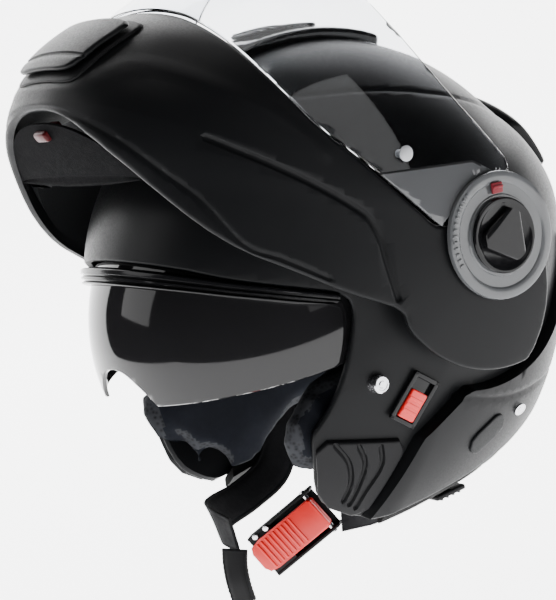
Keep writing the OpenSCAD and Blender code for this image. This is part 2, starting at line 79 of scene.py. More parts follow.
class Surface:
    """A surface about an axis along X: an angle a, 0 forward and 90 up, and p from 0 at
    the left pole to 180 at the right."""

    def __init__(self, radius, w, n, first=-60.0, pivot=(0, 0)):
        self.radius, self.w, self.n, self.first, self.pivot = radius, w, n, first, pivot

    def point(self, uv, grow=0.0, w=None):
        a, p = uv[:, 0], np.radians(uv[:, 1])
        wide = (self.w if w is None else w) + grow
        c, s = np.cos(p), np.sin(p)
        rho = (self.radius(a) + grow) * np.abs(s) ** (2 / self.n)
        a = np.radians(a)
        return np.stack([wide * np.sign(c) * np.abs(c) ** (2 / self.n),
                         self.pivot[0] - rho * np.cos(a), self.pivot[1] + rho * np.sin(a)], 1)

    def half_width(self, y, z, grow=0.0):
        y, z = np.asarray(y, float) - self.pivot[0], np.asarray(z, float) - self.pivot[1]
        r = np.hypot(y, z)
        a = np.degrees(np.arctan2(z, -y))
        a = np.where(a < self.first, a + 360, a)
        q = np.minimum(1, r / (self.radius(a) + grow)) ** self.n
        return (self.w + grow) * (1 - q) ** (1 / self.n)


SHELL = Surface(SHELL_R, 118, 2.2)
CHIN = Surface(CHIN_R, 134, 2.3, -100)
LINER = Surface(LINER_R, 126, 2.3, -100)
VISOR = Surface(VISOR_R, 135.5, 2.3, -60)
SUN = Surface(SUN_R, 99.5, 2.0, -90, (-63, -30))


def arc(r, a0, a1, n, cy=0.0, cz=0.0):
    t = np.radians(np.linspace(a0, a1, n))
    return [(cy - r * math.cos(x), cz + r * math.sin(x)) for x in t]


def soften(points, rounds=2, closed=True, far=250):
    """Rounds an outline's corners, leaving the far helper points alone."""
    pts = [np.array(p, float) for p in points]
    for _ in range(rounds):
        out = []
        n = len(pts)
        for i in range(n if closed else n - 1):
            a, b = pts[i], pts[(i + 1) % n]
            if max(abs(a).max(), abs(b).max()) >= far:
                out.append(a)
                continue
            length = np.linalg.norm(b - a)
            cut = min(0.25 * length, 6.0)
            d = (b - a) / max(length, 1e-9)
            if not closed and i == 0:
                out.append(a)
            out += [a + d * cut, b - d * cut]
            if not closed and i == n - 2:
                out.append(b)
        pts = out
    return np.array(pts)


def segment_distance(y, z, ay, az, dy, dz):
    """Side-view distance to the segment from (ay, az) that runs by (dy, dz)."""
    t = np.clip(((y - ay) * dy + (z - az) * dz) / (dy * dy + dz * dz + 1e-12), 0, 1)
    return np.hypot(y - ay - t * dy, z - az - t * dz)


def polygon_distance(points):
    """Signed side-view distance to a closed outline, positive inside."""
    p = np.array(points, float)
    q = np.roll(p, -1, 0)

    def field(xyz):
        y, z = xyz[:, 1], xyz[:, 2]
        best = np.full(len(y), 1e9)
        inside = np.zeros(len(y), bool)
        for (ay, az), (by, bz) in zip(p, q):
            dy, dz = by - ay, bz - az
            best = np.minimum(best, segment_distance(y, z, ay, az, dy, dz))
            if az != bz:
                cross = (az > z) != (bz > z)
                inside ^= cross & (y < dy * (z - az) / dz + ay)
        return np.where(inside, best, -best)
    return field


def line_distance(points):
    """Side-view distance to an open line."""
    p = np.array(points, float)

    def field(xyz):
        y, z = xyz[:, 1], xyz[:, 2]
        best = np.full(len(y), 1e9)
        for (ay, az), (by, bz) in zip(p[:-1], p[1:]):
            best = np.minimum(best, segment_distance(y, z, ay, az, by - ay, bz - az))
        return best
    return field


def line_side(points):
    """Side-view distance to an open line, positive on its left and negative on its right."""
    p = np.array(points, float)

    def field(xyz):
        y, z = xyz[:, 1], xyz[:, 2]
        best, sign = np.full(len(y), 1e9), np.ones(len(y))
        for (ay, az), (by, bz) in zip(p[:-1], p[1:]):
            dy, dz = by - ay, bz - az
            d = segment_distance(y, z, ay, az, dy, dz)
            near = d < best
            sign = np.where(near, np.where(dy * (z - az) > dz * (y - ay), 1.0, -1.0), sign)
            best = np.minimum(best, d)
        return best * sign
    return field


def smooth_line(points, n=6):
    """A Catmull-Rom line through the points."""
    p = np.array(points, float)
    p = np.vstack([2 * p[0] - p[1], p, 2 * p[-1] - p[-2]])
    out = []
    for i in range(1, len(p) - 2):
        for t in np.linspace(0, 1, n, endpoint=False):
            out.append(0.5 * (2 * p[i] + (p[i + 1] - p[i - 1]) * t
                              + (2 * p[i - 1] - 5 * p[i] + 4 * p[i + 1] - p[i + 2]) * t * t
                              + (3 * p[i] - p[i - 1] - 3 * p[i + 1] + p[i + 2]) * t**3))
    out.append(p[-2])
    return np.array(out)


def step(x, lo, hi):
    t = np.clip((x - lo) / (hi - lo), 0, 1)
    return t * t * (3 - 2 * t)


class Sheet:
    """A patch of a surface in (a, p), cut along level lines of fields of position."""

    def __init__(self, surface, da=2.0, dp=2.0, a=None, p=(0.6, 179.4)):
        self.surface = surface
        a0, a1 = a if a else (surface.first, surface.first + 360)
        around, across = max(2, round((a1 - a0) / da)), max(2, round((p[1] - p[0]) / dp))
        angles, poles = np.linspace(a0, a1, around + 1), np.linspace(p[0], p[1], across + 1)
        wrap = abs(a1 - a0 - 360) < 1e-6
        if wrap:
            angles = angles[:-1]
        self.uv = np.stack(np.meshgrid(angles, poles, indexing="ij"), -1).reshape(-1, 2)
        m, k = across + 1, len(angles)
        self.faces = [(j * m + i, j * m + i + 1, (j + 1) % k * m + i + 1, (j + 1) % k * m + i)
                      for j in range(k if wrap else k - 1) for i in range(across)]

    def base(self, uv):
        return self.surface.point(uv)

    def split(self, field, level=0.0, keep=False):
        """Cuts every face along field == level, and with keep drops what is below."""
        val = field(self.base(self.uv)) - level
        val[np.abs(val) < 1e-4] = 0
        cross = {}
        for f in self.faces:
            for i, u in enumerate(f):
                w = f[(i + 1) % len(f)]
                if val[u] * val[w] < 0:
                    cross.setdefault((min(u, w), max(u, w)), None)
        if cross:
            keys = list(cross)
            a = self.uv[[k[0] for k in keys]].copy()
            b = self.uv[[k[1] for k in keys]].copy()
            span = b[:, 0] - a[:, 0]
            b[span > 180, 0] -= 360
            b[span < -180, 0] += 360
            va = val[[k[0] for k in keys]]
            lo, hi = np.zeros(len(keys)), np.ones(len(keys))
            for _ in range(14):
                mid = (lo + hi) / 2
                vm = field(self.base(a + (b - a) * mid[:, None])) - level
                same = np.sign(vm) == np.sign(va)
                lo, hi = np.where(same, mid, lo), np.where(same, hi, mid)
            new = a + (b - a) * ((lo + hi) / 2)[:, None]
            start = len(self.uv)
            self.uv = np.vstack([self.uv, new])
            val = np.concatenate([val, np.zeros(len(keys))])
            cross = {k: start + i for i, k in enumerate(keys)}
        faces = []
        for f in self.faces:
            ring = []
            for i, u in enumerate(f):
                w = f[(i + 1) % len(f)]
                ring.append(u)
                mid = cross.get((min(u, w), max(u, w))) if val[u] * val[w] < 0 else None
                if mid is not None:
                    ring.append(mid)
            pos = [u for u in ring if val[u] >= 0]
            neg = [u for u in ring if val[u] <= 0]
            if any(val[u] > 0 for u in f):
                if any(val[u] < 0 for u in f):
                    if len(pos) >= 3:
                        faces.append(tuple(pos))
                    if not keep and len(neg) >= 3:
                        faces.append(tuple(neg))
                else:
                    faces.append(tuple(ring))
            elif any(val[u] < 0 for u in f):
                if not keep:
                    faces.append(tuple(ring))
            else:
                faces.append(tuple(ring))
        self.faces = faces
        return self

    def groove(self, line, *levels):
        """Adds the edges that a groove along a line needs."""
        self.split(line_side(line))
        for level in levels:
            self.split(line_distance(line), level)
        return self

    def rim(self, field, radius):
        """Cuts the outline and adds the lines that a rounded edge needs."""
        self.split(field, 0, True)
        for k in (0.12, 0.35, 0.65, 1.0):
            self.split(field, radius * k)
        return self


def curl(d, radius):
    """How far a rounded edge drops at distance d inside it."""
    x = np.clip(d / radius, 0, 1)
    return -radius * (1 - np.sqrt(np.maximum(0, 1 - (1 - x) ** 2)))


def make_mesh(name, points, faces, material_index=None):
    mesh = bpy.data.meshes.new(name)
    mesh.from_pydata([tuple(p) for p in np.asarray(points, float) * MM], [], faces)
    obj = bpy.data.objects.new(name, mesh)
    bpy.context.scene.collection.objects.link(obj)
    if material_index is not None:
        mesh.polygons.foreach_set("material_index", np.asarray(material_index, np.int32))
    mesh.validate()
    mesh.shade_smooth()
    return obj


def shell_solid(name, sheet, place, inner, mat_of=None, sharp=40, turn=0.0):
    """A closed piece: place(uv) is its outside, inner(uv) its inside, joined at the rims."""
    used = sorted({u for f in sheet.faces for u in f})
    index = {u: i for i, u in enumerate(used)}
    uv = sheet.uv[used]
    outer, inside = place(uv), inner(uv)
    n = len(used)
    faces = [tuple(index[u] for u in f) for f in sheet.faces]
    edges = {}
    for f in faces:
        for i, u in enumerate(f):
            edges[(u, f[(i + 1) % len(f)])] = 1
    rim = [(u, w) for (u, w) in edges if (w, u) not in edges]
    back = [tuple(n + u for u in reversed(f)) for f in faces]
    walls = [(w, u, n + u, n + w) for u, w in rim]
    everything = faces + back + walls
    pts = np.vstack([outer, inside])
    mats = None
    if mat_of is not None:
        c = np.array([sheet.base(uv[list(f)]).mean(0) for f in faces])
        front, rear = mat_of(c)
        mats = np.concatenate([front, rear, np.full(len(walls), 0)])
    obj = make_mesh(name, pts, everything, mats)
    if turn:
        tilt(obj, turn)
    fix_normals(obj, sharp)
    return obj


def fix_normals(obj, sharp=40):
    bm = bmesh.new()
    bm.from_mesh(obj.data)
    bmesh.ops.recalc_face_normals(bm, faces=bm.faces)
    bm.to_mesh(obj.data)
    bm.free()
    obj.data.shade_smooth()
    if sharp:
        obj.data.set_sharp_from_angle(angle=math.radians(sharp))


def tilt(obj, degrees):
    """Turns a closed-position piece about the pivots; raising the chin bar is negative."""
    obj.data.transform(Matrix.Rotation(math.radians(degrees), 4, "X"))
    obj.data.update()


# ---------------------------------------------------------------- materials
MATS = {}


def material(name, color, rough=0.5, metallic=0.0, grain=0.0, grain_scale=400.0, tone=0.12,
             tone_scale=25.0, coat=0.0, coat_rough=0.1, specular=0.5, weave=None,
             transmission=0.0, ior=1.45, rough_var=0.08, glow=0.0):
    if name in MATS:
        return MATS[name]
    m = bpy.data.materials.new(name)
    m.use_nodes = True
    nt = m.node_tree
    b = nt.nodes["Principled BSDF"]
    tc = nt.nodes.new("ShaderNodeTexCoord")

    def noise(scale, detail=4.0):
        n = nt.nodes.new("ShaderNodeTexNoise")
        n.inputs["Scale"].default_value = scale
        n.inputs["Detail"].default_value = detail
        nt.links.new(tc.outputs["Object"], n.inputs["Vector"])
        return n

    def ramp(src, lo, hi, a=0.3, z=0.7):
        r = nt.nodes.new("ShaderNodeMapRange")
        r.inputs["From Min"].default_value, r.inputs["From Max"].default_value = a, z
        r.inputs["To Min"].default_value, r.inputs["To Max"].default_value = lo, hi
        nt.links.new(src, r.inputs["Value"])
        return r.outputs["Result"]

    big = noise(tone_scale)
    mix = nt.nodes.new("ShaderNodeMix")
    mix.data_type = "RGBA"
    lo = [c * (1 - tone) for c in color]
    hi = [min(1, c * (1 + tone)) for c in color]
    mix.inputs["A"].default_value = (*lo, 1)
    mix.inputs["B"].default_value = (*hi, 1)
    nt.links.new(ramp(big.outputs["Fac"], 0, 1), mix.inputs["Factor"])
    out = mix.outputs["Result"]
    bump_src = None
    if weave:
        kind, scale, depth = weave
        a = nt.nodes.new("ShaderNodeTexVoronoi" if kind == "mesh" else "ShaderNodeTexWave")
        a.inputs["Scale"].default_value = scale
        nt.links.new(tc.outputs["Object"], a.inputs["Vector"])
        if kind == "mesh":
            height = a.outputs["Distance"]
        else:
            a.bands_direction = "Z" if kind == "ribs" else "DIAGONAL"
            a.inputs["Distortion"].default_value = 1.0 if kind == "knit" else 0.0
            a.inputs["Detail"].default_value = 1.0
            height = a.outputs["Fac"]
        dark = nt.nodes.new("ShaderNodeMix")
        dark.data_type = "RGBA"
        dark.blend_type = "MULTIPLY"
        dark.inputs["Factor"].default_value = 1.0
        nt.links.new(out, dark.inputs["A"])
        grey = nt.nodes.new("ShaderNodeCombineColor")
        v = ramp(height, 1 - depth, 1.0, 0.0, 0.6)
        for ch in ("Red", "Green", "Blue"):
            nt.links.new(v, grey.inputs[ch])
        nt.links.new(grey.outputs["Color"], dark.inputs["B"])
        out = dark.outputs["Result"]
        bump_src = height
    nt.links.new(out, b.inputs["Base Color"])
    small = noise(grain_scale, 3.0)
    nt.links.new(ramp(small.outputs["Fac"], max(0, rough - rough_var), min(1, rough + rough_var)),
                 b.inputs["Roughness"])
    if grain or bump_src:
        bump = nt.nodes.new("ShaderNodeBump")
        bump.inputs["Strength"].default_value = min(1.0, max(grain, 0.35 if bump_src else 0))
        bump.inputs["Distance"].default_value = 0.0004 if bump_src else 0.0002
        nt.links.new(bump_src or small.outputs["Fac"], bump.inputs["Height"])
        nt.links.new(bump.outputs["Normal"], b.inputs["Normal"])
    b.inputs["Metallic"].default_value = metallic
    b.inputs["Specular IOR Level"].default_value = specular
    b.inputs["Coat Weight"].default_value = coat
    b.inputs["Coat Roughness"].default_value = coat_rough
    b.inputs["Transmission Weight"].default_value = transmission
    b.inputs["IOR"].default_value = ior
    b.inputs["Emission Color"].default_value = (1, 1, 1, 1)
    b.inputs["Emission Strength"].default_value = glow
    MATS[name] = m
    return m


PAINT = dict(color=(0.0040, 0.0042, 0.0047), rough=0.40, grain=0.0, grain_scale=900, tone=0.08,
             coat=0.0, specular=0.10)
shell_paint = material("matt_black_paint", **PAINT)
gloss_black = material("gloss_black", (0.004, 0.004, 0.0045), 0.16, tone=0.1, coat=0.12,
                       grain_scale=300, rough_var=0.04, specular=0.12)
matt_plastic = material("matt_black_plastic", (0.005, 0.005, 0.0056), 0.5, grain=0.03,
                        grain_scale=1500, tone=0.12, specular=0.12)
dark_grey = material("dark_grey_plastic", (0.007, 0.0075, 0.008), 0.5, grain=0.03,
                     grain_scale=1200, tone=0.12, specular=0.10)
rubber = material("black_rubber", (0.008, 0.008, 0.008), 0.7, grain=0.3, grain_scale=800,
                  tone=0.2, specular=0.10)
red_plastic = material("red_plastic", (0.52, 0.007, 0.005), 0.38, grain=0.1, grain_scale=900,
                       tone=0.08)
steel = material("steel", (0.60, 0.60, 0.62), 0.24, metallic=1.0, grain=0.1, grain_scale=600,
                 tone=0.08)
foam = material("grey_foam", (0.030, 0.030, 0.033), 0.85, grain=0.6, grain_scale=500, tone=0.25,
                tone_scale=300)
lining_cloth = material("lining_cloth", (0.0065, 0.0075, 0.0105), 0.9,
                        weave=("knit", 900, 0.4), tone=0.2, tone_scale=60,
                        specular=0.08)
mesh_cloth = material("mesh_cloth", (0.020, 0.021, 0.024), 0.85, weave=("mesh", 420, 0.9),
                      tone=0.2, specular=0.12)
webbing = material("webbing", (0.006, 0.006, 0.007), 0.8, weave=("ribs", 700, 0.6), tone=0.2,
                   specular=0.1)
curtain_cloth = material("curtain_cloth", (0.0022, 0.0022, 0.0026), 0.8,
                         weave=("knit", 1200, 0.3), tone=0.15, specular=0.02)
catch_red = material("catch_red_plastic", (0.13, 0.010, 0.016), 0.4, tone=0.08, specular=0.2)
dark_red = material("dark_red_plastic", (0.045, 0.002, 0.003), 0.4, tone=0.08, specular=0.15)
clear_plastic = material("clear_visor", (0.80, 0.82, 0.85), 0.03, transmission=1.0, ior=1.4,
                         tone=0.02, rough_var=0.01)
smoke_plastic = material("smoke_sun_visor", (0.008, 0.0078, 0.0085), 0.06, transmission=0.14,
                         ior=1.33, tone=0.1, rough_var=0.02)
clear_grey = material("clear_grey_plastic", (0.45, 0.46, 0.48), 0.2, transmission=0.3, tone=0.1)
ring_plastic = material("smoke_ring", (0.085, 0.088, 0.092), 0.16, transmission=0.25, ior=1.4,
                        tone=0.1)
side_tint = material("side_plate_tint", (0.080, 0.082, 0.086), 0.06, transmission=0.25, ior=1.4,
                     tone=0.06, rough_var=0.02)


def give(obj, *mats):
    obj.data.materials.clear()
    for m in mats:
        obj.data.materials.append(m)


def done(obj, mats, body, slot, *nodes):
    """Finishes a visible piece: its materials, its body and what it replaces; slot is not used."""
    if mats:
        give(obj, *mats)
    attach(obj, body)
    if nodes:
        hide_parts(*nodes)
    return obj


# ---------------------------------------------------------------- outlines, [y, z] in mm
BIG = 300
SILL = [[-177, -28], [-160, -32], [-134, -37], [-104, -39], [-62, -32], [-26, -25]]
NECK = [[-8, -66], [-36, -84], [-57, -94], [-83, -107], [-105, -112], [-128, -113],
        [-159, -112], [-178, -107], [-BIG, -107]]
CHIN_EDGE = ([[-BIG, -28]] + SILL + arc(30.6, -38.7, 139.3, 16) + [[40, 13], [56, -2]]
             + arc(70, 198.7, 268.8, 10) + NECK)
LENS_EDGE = ([[-BIG, -26.8]] + [[y, z + 1.2] for y, z in SILL] + [[-27.2, -22], [-27.5, -15]]
             + arc(31.1, -28, 54, 14)
             + [[-24, 30.5], [-34, 30], [-70, 29], [-95, 32], [-120, 38], [-149, 52], [-BIG, 110]])
SHELL_EDGE = [[-145, 28], [-127, 15], [-103, 4], [-80, -6], [-77, -16], [-86, -40], [-96, -58],
              [-106, -71], [-110, -74], [-110, -112], [-88, -131], [-59, -130], [-16, -127],
              [10, -123], [40, -113], [75, -103], [160, -95], [BIG, -80], [BIG, BIG],
              [-BIG, BIG], [-BIG, 120]]
PANEL_EDGE = ([[-88, -131], [-58, -91], [-30, -76.6]] + arc(79, -71.3, -163.1, 24)
              + [[BIG, -30], [BIG, -BIG], [-88, -BIG]])

# ---------------------------------------------------------------- outer shell
shell_field = polygon_distance(soften(SHELL_EDGE, 2, True))
panel_field = polygon_distance(PANEL_EDGE)
PANEL_CREASE = smooth_line([[-33, -77], [-8, -87], [19, -92], [60, -92], [110, -86]])
TOP_LINE = smooth_line([[-60, 92], [-20, 84], [20, 70], [60, 52], [100, 30]])
panel_crease, top_line = line_distance(PANEL_CREASE), line_distance(TOP_LINE)
PANEL_OUT, PANEL_BACK = 8.5, 1.5    # how far the rear panels stand out sideways and behind


def shell_grow(xyz):
    d = shell_field(xyz)
    g = curl(d, 1.8)
    g = g - 0.9 * (1 - step(panel_crease(xyz), 0.5, 2.2))
    g = g - 0.8 * (1 - step(top_line(xyz), 0.3, 1.6))
    return g


def shell_place(uv):
    """The shell's outside, with the rear side panels raised over a soft step."""
    base = SHELL.point(uv)
    s = step(panel_field(base), -0.6, 1.4)
    g = shell_grow(base)
    a, c, sn = uv[:, 0], np.cos(np.radians(uv[:, 1])), np.sin(np.radians(uv[:, 1]))
    wide = SHELL.w + PANEL_OUT * s
    rho = (SHELL_R(a) + PANEL_BACK * s + g) * np.abs(sn) ** (2 / SHELL.n)
    a = np.radians(a)
    return np.stack([(wide + g) * np.sign(c) * np.abs(c) ** (2 / SHELL.n),
                     -rho * np.cos(a), rho * np.sin(a)], 1)


sh = Sheet(SHELL, 2.2, 1.8, a=(-60, 300))
sh.rim(shell_field, 1.8)
for lv in (-0.6, 0.4, 1.4):
    sh.split(panel_field, lv)
sh.groove(PANEL_CREASE, 0.5, 2.2).groove(TOP_LINE, 0.3, 1.6)
outer = shell_solid("outer_shell_skin", sh, shell_place, lambda uv: SHELL.point(uv, -3.9), sharp=50)
done(outer, [shell_paint], "shell", "shell_black", "outer_shell")

# ---------------------------------------------------------------- chin bar
chin_field = polygon_distance(soften(CHIN_EDGE, 1, True))
S_GROOVE = smooth_line([[-135, -82], [-121, -76], [-108, -70], [-82, -59],
                        [-68, -54], [-57, -51], [-45, -53], [-33, -58], [-15, -65]])
LOW_CREASE = smooth_line([[-196, -106], [-167, -106.5], [-153, -106], [-133, -105],
                          [-113, -103], [-85, -104], [-69, -96], [-46, -85]])
TOP_CREASE = smooth_line([[-182, -96], [-175, -74], [-165, -65], [-146, -58],
                          [-121, -51], [-95, -47]])
s_groove, low_crease, top_crease = map(line_distance, (S_GROOVE, LOW_CREASE, TOP_CREASE))


def chin_grow(xyz):
    d = chin_field(xyz)
    g = curl(d, 2.2)
    g = g - 1.6 * (1 - step(s_groove(xyz), 0.6, 2.4))
    g = g - 0.8 * (1 - step(low_crease(xyz), 0.4, 1.6))
    g = g + 0.9 * (1 - step(top_crease(xyz), 0.5, 7.0))
    return g


ch = Sheet(CHIN, 2.0, 1.6, a=(-100, 260))
ch.rim(chin_field, 2.2)
ch.groove(S_GROOVE, 0.6, 1.5, 2.4).groove(LOW_CREASE, 0.4, 1.6, 3.2).groove(TOP_CREASE, 2.5, 7)
chin = shell_solid("chin_bar_skin", ch, lambda uv: CHIN.point(uv, chin_grow(CHIN.point(uv))),
                   lambda uv: CHIN.point(uv, -4.4), sharp=50, turn=-OPEN)
done(chin, [shell_paint], "chin_bar", "shell_black", "chin_shell")

# ---------------------------------------------------------------- clear visor
lens_field = polygon_distance(soften(LENS_EDGE, 1, True))
le = Sheet(VISOR, 2.0, 2.0, a=(-60, 100))
le.split(lens_field, 0, True).split(lens_field, 0.6)
# The side plate that carries the visor's ring is a darker tint, parted off by a fine line
plate_field = polygon_distance([[-73, -38], [-39, 13], [-12, 26], [10, 40], [60, 40],
                                [60, -60], [-73, -60]])
PLATE_LINE = 1.1
le.split(plate_field, 0).split(plate_field, PLATE_LINE)
lens = shell_solid("visor_lens_clear", le,
                   lambda uv: VISOR.point(uv, curl(lens_field(VISOR.point(uv)), 0.6)),
                   lambda uv: VISOR.point(uv, -2.4), sharp=40, turn=-OPEN)
give(lens, clear_plastic, side_tint, matt_plastic)
middle = np.zeros(len(lens.data.polygons) * 3)
lens.data.polygons.foreach_get("center", middle)
middle = middle.reshape(-1, 3) / MM
cos_open, sin_open = math.cos(math.radians(OPEN)), math.sin(math.radians(OPEN))
closed = np.stack([middle[:, 0], middle[:, 1] * cos_open - middle[:, 2] * sin_open,
                   middle[:, 1] * sin_open + middle[:, 2] * cos_open], 1)
inside = plate_field(closed)
parts = np.where(inside > 0, 1, 0)
parts = np.where((inside > 0) & (inside < PLATE_LINE) & (closed[:, 2] < 15), 2, parts)
lens.data.polygons.foreach_set("material_index", parts.astype(np.int32))
done(lens, None, "visor", "clear", "visor_lens")

# ---------------------------------------------------------------- sun visor
SUN_EDGE = [[-52, -30], [-53, -38], [-60, -41.5], [-100, -43.5], [-BIG, -47], [-BIG, 90],
            [-150, 38], [-127, 24], [-103, 12], [-80, 2], [-62, -19], [-54, -23]]
NOSE = [[-38, -70], [-31, -46], [-20, -32.5], [-8, -24.5], [8, -24.5], [20, -32.5],
        [31, -46], [38, -70]]
sun_side = polygon_distance(soften(SUN_EDGE, 1, True))
nose = polygon_distance(soften(NOSE, 2, True))


def sun_field(q):
    """Inside the side outline and outside the notch over the nose."""
    return np.minimum(sun_side(q), -nose(np.stack([q[:, 0] * 0, q[:, 0], q[:, 2]], 1)))


su = Sheet(SUN, 1.8, 1.8, a=(-90, 100))
su.split(sun_side, 0, True).split(sun_field, 0, True).split(sun_field, 0.7)
sun = shell_solid("sun_visor_smoke", su,
                  lambda uv: SUN.point(uv, curl(sun_field(SUN.point(uv)), 0.7)),
                  lambda uv: SUN.point(uv, -2.1), sharp=40)
done(sun, [smoke_plastic], "sun_visor", "smoke", "sun_visor")

# ---------------------------------------------------------------- shared makers
def patch(name, surface, fields, outer, inner, radius=1.2, a=None, p=(0.6, 179.4), da=2.0,
          dp=2.0, grooves=(), raised=False, mirror=False, mat_of=None, sharp=40):
    """A closed piece of a surface: outer and inner are its distances from it, fields its
    outline, and grooves are (line, depth, half-width) with a negative depth for a ridge."""
    def field(q):
        return np.minimum.reduce([f(q) for f in fields])

    sheet = Sheet(surface, da, dp, a, p)
    for f in fields:
        sheet.split(f, 0, True)
    sheet.rim(field, radius)
    for line, depth, half in grooves:
        sheet.groove(line, 0.4 * half, half)

    def place(uv):
        base = surface.point(uv)
        grow = outer + curl(field(base), radius)
        for line, depth, half in grooves:
            grow = grow - depth * (1 - step(line_distance(line)(base), 0.4 * half, half))
        return surface.point(uv, grow)

    inside = inner if callable(inner) else (lambda uv: surface.point(uv, inner))
    obj = shell_solid(name, sheet, place, inside, mat_of, sharp, -OPEN if raised else 0)
    return flip(obj) if mirror else obj


def flip(obj):
    obj.data.transform(Matrix.Diagonal((-1, 1, 1, 1)))
    obj.data.flip_normals()
    return obj


def plan_field(points, axes=(0, 1)):
    """Signed distance to an outline in plan, [x, y], or with axes (0, 2) in front view."""
    f = polygon_distance(points)
    return lambda q: f(np.stack([q[:, 0] * 0, q[:, axes[0]], q[:, axes[1]]], 1))


def lathe(name, profile, at=(0, 0), sides=64, raised=False, mirror=False, sharp=35):
    """Turns a profile of [x, radius] points about an axis along X at [y, z]."""
    pts, faces = [], []
    n = len(profile)
    for k in range(sides):
        t = TAU * k / sides
        pts += [(x, at[0] + r * math.cos(t), at[1] + r * math.sin(t)) for x, r in profile]
    for k in range(sides):
        j = (k + 1) % sides
        for i in range(n):
            i2 = (i + 1) % n
            faces.append((k * n + i, k * n + i2, j * n + i2, j * n + i))
    obj = make_mesh(name, pts, faces)
    bm = bmesh.new()
    bm.from_mesh(obj.data)
    bmesh.ops.remove_doubles(bm, verts=bm.verts, dist=1e-6)
    bm.to_mesh(obj.data)
    bm.free()
    if raised:
        tilt(obj, -OPEN)
    fix_normals(obj, sharp)
    return flip(obj) if mirror else obj


def rounded_box(lo, hi, radius, segments=3):
    """A bmesh box in millimetres with rounded edges."""
    bm = bmesh.new()
    bmesh.ops.create_cube(bm, size=1)
    size, mid = [h - l for l, h in zip(lo, hi)], [(h + l) / 2 for l, h in zip(lo, hi)]
    bmesh.ops.transform(bm, matrix=Matrix.Translation(mid) @ Matrix.Diagonal((*size, 1)),
                        verts=bm.verts)
    bmesh.ops.bevel(bm, geom=bm.edges[:], offset=min(radius, 0.49 * min(size)), offset_type="OFFSET",
                    segments=segments, profile=0.5, affect="EDGES")
    return bm


def extruded(outline, z0, z1, radius=0.6, segments=2):
    """A bmesh prism on an outline in its own XY plane, with rounded ends."""
    bm = bmesh.new()
    low = [bm.verts.new((x, y, z0)) for x, y in outline]
    high = [bm.verts.new((x, y, z1)) for x, y in outline]
    n = len(outline)
    bm.faces.new(reversed(low))
    bm.faces.new(high)
    for i in range(n):
        bm.faces.new((low[i], low[(i + 1) % n], high[(i + 1) % n], high[i]))
    caps = [e for e in bm.edges if (e.verts[0].co.z == e.verts[1].co.z)]
    bmesh.ops.bevel(bm, geom=caps, offset=radius, offset_type="OFFSET", segments=segments,
                    profile=0.5, affect="EDGES")
    return bm


def solid(name, parts, matrix=None, raised=False, mirror=False, sharp=35):
    """One object from several bmesh parts, in millimetres; a part may be (bm, material)."""
    whole = bmesh.new()
    for part in parts:
        bm, mat = part if isinstance(part, tuple) else (part, 0)
        for f in bm.faces:
            f.material_index = mat
        temp = bpy.data.meshes.new("temp")
        bm.to_mesh(temp)
        whole.from_mesh(temp)
        bpy.data.meshes.remove(temp)
        bm.free()
    if matrix is not None:
        bmesh.ops.transform(whole, matrix=matrix, verts=whole.verts)
    bmesh.ops.scale(whole, vec=(MM, MM, MM), verts=whole.verts)
    bmesh.ops.recalc_face_normals(whole, faces=whole.faces)
    mesh = bpy.data.meshes.new(name)
    whole.to_mesh(mesh)
    whole.free()
    obj = bpy.data.objects.new(name, mesh)
    bpy.context.scene.collection.objects.link(obj)
    if raised:
        tilt(obj, -OPEN)
    mesh.shade_smooth()
    mesh.set_sharp_from_angle(angle=math.radians(sharp))
    return flip(obj) if mirror else obj


def turned(*degrees):
    """A rotation about X, then Y, then Z."""
    x, y, z = (math.radians(v) for v in degrees)
    return Matrix.Rotation(z, 4, "Z") @ Matrix.Rotation(y, 4, "Y") @ Matrix.Rotation(x, 4, "X")


SIDES = (("left", False), ("right", True))

# ---------------------------------------------------------------- chin bar trim
def clear_of(at, radius):
    return lambda q: np.hypot(q[:, 1] - at[0], q[:, 2] - at[1]) - radius


LATCH_AT, HOOK_AT = (-75, -56), (-84.6, -43.2)
LINER_EDGE = [[-BIG, -34], [-177, -34], [-160, -38], [-134, -43], [-104, -45], [-62, -40],
              [-46, -36], [-40, -56], [-46, -74], [-60, -86], [-84, -101], [-106, -106],
              [-128, -107], [-159, -107], [-176, -103], [-BIG, -103]]


def liner_inside(uv):
    """The liner's inner face, held clear of the helmet's shell behind y = -116."""
    inside = LINER.point(uv)
    room = SHELL.point(uv, 6.8)
    y, z = inside[:, 1], inside[:, 2]
    within = np.abs(inside[:, 0]) < SHELL.half_width(y, z, 6.8)
    return np.where((within & (y > -116))[:, None], room, inside)


liner = patch("chin_liner_panel", CHIN, [polygon_distance(soften(LINER_EDGE, 1)),
              clear_of(LATCH_AT, 14.5), clear_of(HOOK_AT, 9)], -4.9, liner_inside, 0.6,
              a=(-100, 30), raised=True, sharp=45)
done(liner, [dark_grey], "chin_bar", "lining", "chin_liner")

GASKET_EDGE = [[-BIG, -33.6], [-177, -33.6], [-160, -37.6], [-134, -42.6], [-104, -44.6],
               [-62, -39.6], [-52, -37], [-52, -29.5], [-62, -31.4], [-104, -38.2],
               [-134, -36.2], [-160, -31.2], [-177, -27.2], [-BIG, -27.2]]
gasket = patch("sill_gasket_seal", CHIN, [polygon_distance(GASKET_EDGE)], -4.95, -8.7, 0.8,
               a=(-60, 30), raised=True)
done(gasket, [rubber], "chin_bar", "rubber", "sill_gasket")


